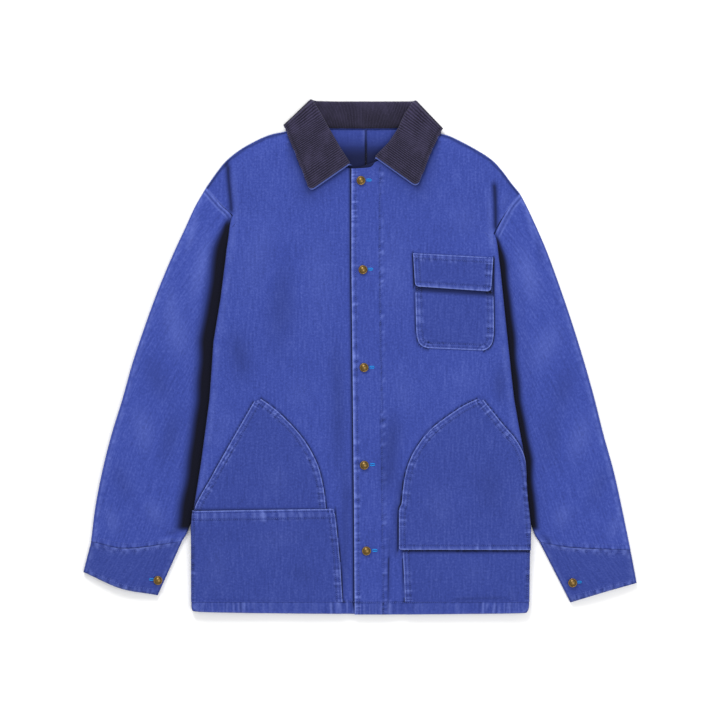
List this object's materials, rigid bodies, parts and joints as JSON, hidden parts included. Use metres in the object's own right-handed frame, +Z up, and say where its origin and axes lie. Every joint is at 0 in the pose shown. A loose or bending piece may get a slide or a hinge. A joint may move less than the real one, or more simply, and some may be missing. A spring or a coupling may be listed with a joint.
{
  "type": "chore jacket laid flat",
  "caption": "Buttoned chore jacket laid flat on its back: worn cloth shell with a contrast turn-down collar, patch pockets, long cuffed sleeves and metal buttons.",
  "frame": {"origin": "middle of the jacket's outline on the surface it lies on", "axes": "+X to the wearer's left, across the sleeves; +Y towards the collar; +Z up, out of the jacket's front"},
  "size_m": [0.8558, 0.7972, 0.019],
  "materials": {
    "twill_front_right": "washed cotton twill, matte",
    "twill_front_left": "washed cotton twill, matte",
    "twill_back_right": "washed cotton twill, matte",
    "twill_back_left": "washed cotton twill, matte",
    "twill_sleeve_right": "washed cotton twill, matte",
    "twill_sleeve_left": "washed cotton twill, matte",
    "twill_cuff_right": "washed cotton twill, matte",
    "twill_cuff_left": "washed cotton twill, matte",
    "cloth_collar_upper": "fine wale corduroy, matte",
    "cloth_collar_under": "washed cotton twill, matte",
    "twill_chest_pocket": "washed cotton twill, matte",
    "twill_chest_flap": "washed cotton twill, matte",
    "twill_arched_pocket": "washed cotton twill, matte",
    "twill_patch_pocket_right": "washed cotton twill, matte",
    "twill_patch_pocket_left": "washed cotton twill, matte",
    "twill_arched_flap": "washed cotton twill, matte",
    "brass_front_button_1": "warm worn brass, satin",
    "brass_front_button_2": "warm worn brass, satin",
    "brass_front_button_3": "warm worn brass, satin",
    "brass_front_button_4": "warm worn brass, satin",
    "brass_front_button_5": "warm worn brass, satin",
    "brass_cuff_button_right": "warm worn brass, satin",
    "brass_cuff_button_left": "warm worn brass, satin"
  },
  "bodies": {
    "root": {"front_right": "twill_front_right", "front_left": "twill_front_left", "back_right": "twill_back_right", "back_left": "twill_back_left", "sleeve_right": "twill_sleeve_right", "sleeve_left": "twill_sleeve_left", "cuff_right": "twill_cuff_right", "cuff_left": "twill_cuff_left", "collar_upper": "cloth_collar_upper", "collar_under": "cloth_collar_under", "chest_pocket": "twill_chest_pocket", "chest_flap": "twill_chest_flap", "arched_pocket": "twill_arched_pocket", "patch_pocket_right": "twill_patch_pocket_right", "patch_pocket_left": "twill_patch_pocket_left", "arched_flap": "twill_arched_flap", "front_button_1": "brass_front_button_1", "front_button_2": "brass_front_button_2", "front_button_3": "brass_front_button_3", "front_button_4": "brass_front_button_4", "front_button_5": "brass_front_button_5", "cuff_button_right": "brass_cuff_button_right", "cuff_button_left": "brass_cuff_button_left"}
  },
  "joints": []
}
